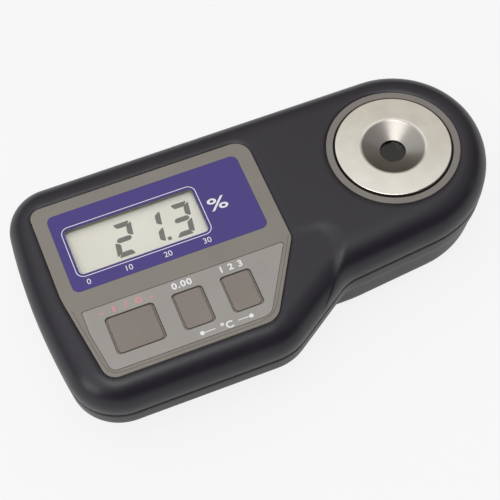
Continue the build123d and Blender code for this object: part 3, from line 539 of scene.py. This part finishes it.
# Marks on the key plate, in plain figures and signs: pink over the first key and white over
# the other two. Two dots, on a line with a sign in its middle, are for the pair of keys that
# are pressed together.
plate_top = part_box("key_plate")[1].z
pink_ink = ink_finish("pink_ink", screen(220, 148, 154))
mark_height = 0.0024
degree_height = 0.0025
mark_weight = 0.00009
marks = [
    ("start_mark", "- 1 / 0 -", mark_height, (-0.0560, -0.0141, plate_top), 1.2, pink_ink, 1.5),
    ("zero_mark", "0.00", mark_height, (-0.0364, -0.0137, plate_top), 1.15, white_ink, 1.1),
    ("scale_mark", "1 2 3", mark_height, (-0.0190, -0.0137, plate_top), 1.15, white_ink, 1.1),
    ("degree_mark", "°C", degree_height, (-0.0280, -0.0339, plate_top), 1.1, white_ink, 1.1),
]
for mark, signs, height, place, tracking, ink, stretch in marks:
    print_words(signs, height, place, tracking, mark, ink, mark_weight, stretch)
link_y = -0.03243
link_dot_radius = 0.00075
link_line_width = 0.00028
link_clearance = 0.00005
link_ends = (-0.03653, -0.01940)
link_gap = (-0.03200, -0.02400)
for end_number, end_x in enumerate(link_ends):
    start_piece()
    bpy.ops.mesh.primitive_circle_add(
        vertices=32, radius=link_dot_radius, fill_type="NGON", location=(end_x, link_y, plate_top)
    )
    bpy.ops.object.mode_set(mode="EDIT")
    thicken()
    finish_piece(f"link_dot_{end_number + 1}", white_ink)
    start_piece()
    line_end = link_gap[end_number]
    line_start = end_x + math.copysign(link_dot_radius + link_clearance, line_end - end_x)
    line_middle = (line_start + line_end) / 2
    bpy.ops.mesh.primitive_plane_add(size=1, location=(line_middle, link_y, plate_top))
    bpy.context.object.scale = (abs(line_start - line_end), link_line_width, 1)
    bpy.ops.object.transform_apply(location=False, rotation=False, scale=True)
    bpy.ops.object.mode_set(mode="EDIT")
    thicken()
    finish_piece(f"link_line_{end_number + 1}", white_ink)


# The three keys are caps of the panel's plastic, in a browner shade. Fingertips have polished
# them in patches.
key_finish = moulded_finish(
    "taupe_key_plastic", screen(136, 127, 120), screen(130, 121, 114),
    roughness=0.5, grain=0.0004, depth=0.000012,
)
dress(key_finish, "start_key", "zero_key", "scale_key")


# The circuit boards lie under a green solder mask, with bright tracks that run along them in
# some places and across them in others. The chips, the key switches, the image sensor and the
# battery's clip are moulded in black resin.
board_finish, board_shader, board_place = new_finish("green_circuit_board", screen(24, 92, 52), 0.35)
board_x = board_place.axis("X")
board_y = board_place.axis("Y")
track_pitch = 0.00127
track_half_share = 0.14
along_from = 0.56
across_up_to = 0.44
along_tracks = abs(board_y % track_pitch / track_pitch - 0.5) < track_half_share
cross_tracks = abs(board_x % track_pitch / track_pitch - 0.5) < track_half_share
fields = board_place.cloud(0.014, 0.0)
tracks = along_tracks * (fields > along_from) + cross_tracks * (fields < across_up_to)
feed(board_shader, "Base Color", tracks.blend(screen(24, 92, 52), screen(62, 138, 84)))
press_relief(board_shader, tracks, 0.00003)
dress(board_finish, "main_board", "lamp_board", "sensor_board")
chip_finish = moulded_finish(
    "black_chip_resin", screen(38, 38, 40), screen(32, 32, 34),
    roughness=0.55, grain=0.00015, depth=0.00001,
)
dress(chip_finish, "board_chips", "key_switches", "image_sensor", "battery_clip")


# The sample stage is turned from stainless steel. Its flat face is bright and finely turned,
# and the dish round the light hole is less glossy and painted a darker grey, as painted shade.
stage_middle = Vector((0.0510, 0.0108))
dish_edge = 0.0117
edge_inside = 0.0012
edge_outside = 0.0002
steel_finish, steel_shader, steel_place = new_finish(
    "turned_stage_steel", screen(222, 218, 209), 0.26, 1.0
)
stage_x = steel_place.axis("X") - stage_middle.x
stage_y = steel_place.axis("Y") - stage_middle.y
stage_radius = (stage_x * stage_x + stage_y * stage_y) ** 0.5
flat_part = stage_radius.rise(dish_edge - edge_inside, dish_edge + edge_outside)
turning = stage_radius.node("ShaderNodeCombineXYZ", {}, {"X": stage_radius})
grooves = turning.cloud(0.00012, 2.0)
steel_clouds = steel_place.cloud(0.006, 4.0)
flat_tone = steel_clouds.rise(0.3, 0.7).blend(screen(233, 229, 220), screen(240, 237, 228))
# The dish's darker grey is painted shade of the hollow, on the same steel as the flat face.
feed(steel_shader, "Base Color", flat_part.blend(screen(160, 156, 150), flat_tone))
feed(steel_shader, "Roughness", 0.27 - flat_part * 0.17 + steel_clouds * 0.03)
press_relief(steel_shader, grooves * flat_part, 0.0000006)
dress(steel_finish, "sample_stage")


# The ring round the stage is painted metal, in the panel's taupe but darker. It frames the
# steel, with the rubber seal of the stage between them.
ring_finish = moulded_finish(
    "taupe_ring_paint", screen(132, 126, 120), screen(125, 119, 114),
    roughness=0.42, grain=0.0005, depth=0.00001,
)
dress(ring_finish, "stage_ring")


# The prism and the two lenses are polished optical glass. The prism closes the light hole of
# the stage from below, and light passes it from one lens to the other.
glass_finish, glass_shader, glass_place = new_finish(
    "polished_optical_glass", screen(226, 232, 234), 0.02
)
glass_shader.inputs["Transmission Weight"].default_value = 1.0
glass_shader.inputs["IOR"].default_value = 1.62
glass_smears = glass_place.cloud(0.003, 3.0).rise(0.6, 0.9)
feed(glass_shader, "Roughness", 0.01 + glass_smears * 0.04)
dress(glass_finish, "prism", "collimating_lens", "imaging_lens")


# The optics block is milled aluminium, anodised black so that it throws no stray light. The
# cutter has left marks across it at a steady pitch.
block_finish, block_shader, block_place = new_finish(
    "black_anodised_aluminium", screen(52, 52, 55), 0.4, 0.6
)
cutter_pitch = 0.0006
cutter_wander = 0.0008
cutter_path = block_place.axis("X") + block_place.cloud(0.004, 2.0) * cutter_wander
cutter_marks = cutter_path % cutter_pitch / cutter_pitch
feed(block_shader, "Base Color", cutter_marks.blend(screen(46, 46, 49), screen(58, 58, 61)))
press_relief(block_shader, cutter_marks, 0.000006)
dress(block_finish, "optics_block")


# The lamp is moulded in amber resin, which lets part of the light through, and it glows
# yellow when it is on. The colour of the resin is a little uneven.
lamp_finish, lamp_shader, lamp_place = new_finish("amber_lamp_resin", screen(236, 178, 66), 0.12)
lamp_shader.inputs["Transmission Weight"].default_value = 0.6
lamp_clouds = lamp_place.cloud(0.002, 2.0)
feed(lamp_shader, "Base Color", lamp_clouds.blend(screen(226, 160, 50), screen(242, 192, 84)))
dress(lamp_finish, "lamp")


# The flat cable between the boards is grey with bare copper lines along it, and the lamp's
# lead is grey plastic. The battery's two leads are red.
ribbon_finish, ribbon_shader, ribbon_place = new_finish("grey_flat_cable", screen(186, 186, 182), 0.45)
cable_pitch = 0.001
cable_half_share = 0.28
cable_lines = abs(ribbon_place.axis("Y") % cable_pitch / cable_pitch - 0.5) < cable_half_share
feed(ribbon_shader, "Base Color", cable_lines.blend(screen(190, 190, 186), screen(168, 132, 96)))
press_relief(ribbon_shader, cable_lines, 0.00004)
dress(ribbon_finish, "sensor_ribbon")
lead_finish = moulded_finish(
    "grey_lead_plastic", screen(150, 150, 148), screen(140, 140, 138),
    roughness=0.45, grain=0.0008, depth=0.00001,
)
dress(lead_finish, "lamp_lead")
red_lead_finish = moulded_finish(
    "red_lead_plastic", screen(168, 34, 32), screen(152, 28, 27),
    roughness=0.42, grain=0.0008, depth=0.00001,
)
dress(red_lead_finish, "battery_leads")


# The battery is a nine-volt block in a printed steel jacket: plain dark blue, with a copper
# band at the end that has the two terminals.
terminal_height = 0.002
end_cap_depth = 0.001
copper_band_end = 0.012
jacket_finish, jacket_shader, jacket_place = new_finish("battery_jacket", screen(40, 48, 74), 0.3, 0.3)
from_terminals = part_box("battery")[1].x - terminal_height - jacket_place.axis("X")
copper_band = (from_terminals > end_cap_depth) * (from_terminals < copper_band_end)
end_cap = from_terminals < end_cap_depth
jacket_scratches = jacket_place.cloud(0.0015, 6.0).rise(0.62, 0.75) * 0.4
jacket_print = copper_band.blend(screen(40, 48, 74), screen(188, 118, 74))
jacket_ends = end_cap.blend(jacket_print, screen(170, 170, 168))
feed(jacket_shader, "Base Color", jacket_scratches.blend(jacket_ends, screen(150, 148, 146)))
feed(jacket_shader, "Metallic", 0.3 + end_cap * 0.7)
dress(jacket_finish, "battery")


# Screws, the temperature probe and the lid's screw are steel, plated with zinc. The sleeve
# that takes the lid's screw is brass.
zinc_finish, zinc_shader, zinc_place = new_finish("zinc_plated_steel", screen(176, 176, 174), 0.34, 1.0)
zinc_clouds = zinc_place.cloud(0.0012, 4.0)
zinc_spangle = zinc_clouds.rise(0.3, 0.7)
feed(zinc_shader, "Base Color", zinc_spangle.blend(screen(160, 160, 157), screen(188, 188, 186)))
feed(zinc_shader, "Roughness", 0.28 + zinc_clouds * 0.16)
press_relief(zinc_shader, zinc_place.cloud(0.0003, 2.0), 0.000008)
dress(zinc_finish, "case_screws", "board_screws", "optics_screws", "temperature_sensor", "lid_screw")
brass_finish, brass_shader, brass_place = new_finish("turned_brass", screen(206, 172, 104), 0.3, 1.0)
brass_clouds = brass_place.cloud(0.0012, 4.0).rise(0.3, 0.7)
feed(brass_shader, "Base Color", brass_clouds.blend(screen(190, 152, 84), screen(212, 178, 112)))
dress(brass_finish, "lid_insert")


# The studio: a wide pale floor that looks near white, a soft lamp overhead in front of the
# object, a low one on its left, and a room that is bright above, and dark down at the table's
# height, in front, and in part at the front right.
start_piece()
bpy.ops.mesh.primitive_plane_add(size=4, location=(0, 0, 0))
floor = bpy.context.object
floor.name = "floor"
floor_finish, floor_shader, floor_place = new_finish("white_floor", screen(206, 206, 206), 0.8)
floor_shader.inputs["Specular IOR Level"].default_value = 0.1
floor_clouds = floor_place.cloud(0.3, 2.0)
feed(floor_shader, "Base Color", floor_clouds.blend(screen(205, 205, 205), screen(207, 207, 207)))
camera_ray = floor_place.node("ShaderNodeLightPath", {}, {}, "Is Camera Ray")
glossy_ray = floor_place.node("ShaderNodeLightPath", {}, {}, "Is Glossy Ray")
glass_ray = floor_place.node("ShaderNodeLightPath", {}, {}, "Is Transmission Ray")
glow_share = camera_ray * 0.85 + (glossy_ray + glass_ray) * 0.4
white_glow = floor_place.node("ShaderNodeEmission", {}, {"Strength": 1.0})
floor_mix = floor_place.node("ShaderNodeMixShader", {}, {0: glow_share, 2: white_glow})
floor_nodes = floor_finish.node_tree
floor_nodes.links.new(floor_shader.outputs["BSDF"], floor_mix.socket.node.inputs[1])
floor_nodes.links.new(floor_mix.socket, floor_nodes.nodes["Material Output"].inputs["Surface"])
floor.data.materials.append(floor_finish)


def soft_lamp(name, place, aim, width, height, radiance):
    """A rectangular soft lamp whose face glows at this radiance."""
    lamp = bpy.data.lights.new(name, "AREA")
    lamp.shape = "RECTANGLE"
    lamp.size = width
    lamp.size_y = height
    lamp.energy = radiance * math.pi * width * height
    holder = bpy.data.objects.new(name, lamp)
    bpy.context.scene.collection.objects.link(holder)
    holder.location = place
    direction = Vector(aim) - Vector(place)
    holder.rotation_mode = "QUATERNION"
    holder.rotation_quaternion = direction.to_track_quat("-Z", "Y")


soft_lamp(
    "overhead_lamp", place=(-0.17, -0.30, 0.9), aim=(-0.17, -0.30, 0.0),
    width=0.6, height=0.6, radiance=2.3,
)
soft_lamp(
    "left_lamp", place=(-0.9, -0.26, 0.36), aim=(-0.06, -0.02, 0.03),
    width=0.5, height=0.4, radiance=2.2,
)
table_level = 0.06
ceiling_rise = 0.92
front_shade = 0.95
front_right_shade = 0.55
room = bpy.data.worlds.new("room")
bpy.context.scene.world = room
room.use_nodes = True
room_light = room.node_tree.nodes["Background"]
room_place = Tone(room.node_tree).node("ShaderNodeTexCoord", {}, {}, "Generated")
upwards = room_place.axis("Z").rise(0.0, 0.72)
far_right = (room_place.axis("X") * 0.6 + room_place.axis("Y") * 0.8).rise(0.525, 0.585)
in_front = room_place.axis("Y").rise(-0.3, -0.85)
front_right = (room_place.axis("X") * 0.7 - room_place.axis("Y") * 0.7).rise(0.2, 0.6)
front_level = (1.0 - in_front * front_shade) * (1.0 - front_right * front_right_shade)
room_level = (upwards * ceiling_rise + table_level) * front_level
wall_tone = far_right.blend((1.0, 1.0, 1.0, 1.0), (0.60, 0.575, 0.53, 1.0))
room_tone = room_level.blend((0.0, 0.0, 0.0, 1.0), wall_tone)
room.node_tree.links.new(room_tone.socket, room_light.inputs["Color"])
room_light.inputs["Strength"].default_value = 1.0
